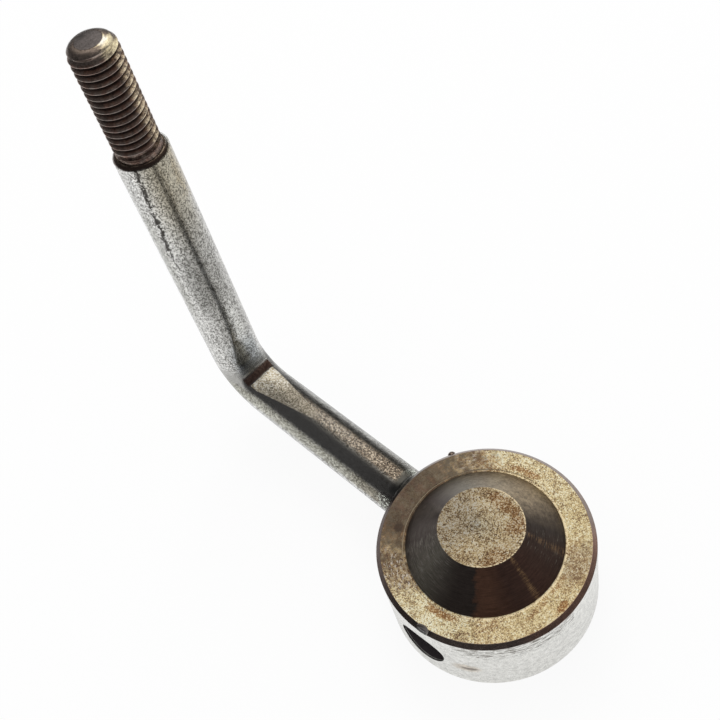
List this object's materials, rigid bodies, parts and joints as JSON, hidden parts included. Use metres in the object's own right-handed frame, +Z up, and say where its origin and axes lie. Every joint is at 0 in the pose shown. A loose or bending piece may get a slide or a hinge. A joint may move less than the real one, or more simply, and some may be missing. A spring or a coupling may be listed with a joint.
{
  "type": "crank handle",
  "caption": "Crank handle: turned steel hub with a blind shaft bore and a cross hole, and a square-bent round arm brazed into it that ends in a threaded stud for a hand grip.",
  "frame": {"origin": "on the hub's axis, in the plane of its base, at the mouth of the shaft bore", "axes": "+Z up the hub's axis, away from the shaft and along the stud; +X from the hub's axis towards the stud's axis; the cross hole faces +Y"},
  "size_m": [0.1089, 0.046, 0.1151],
  "materials": {
    "hub_steel": "turned steel, tarnished, rust-spotted on its top face",
    "arm_steel": "polished bar steel, finely pitted and tarnished"
  },
  "bodies": {
    "root": {"hub": "hub_steel", "arm": "arm_steel"}
  },
  "joints": []
}
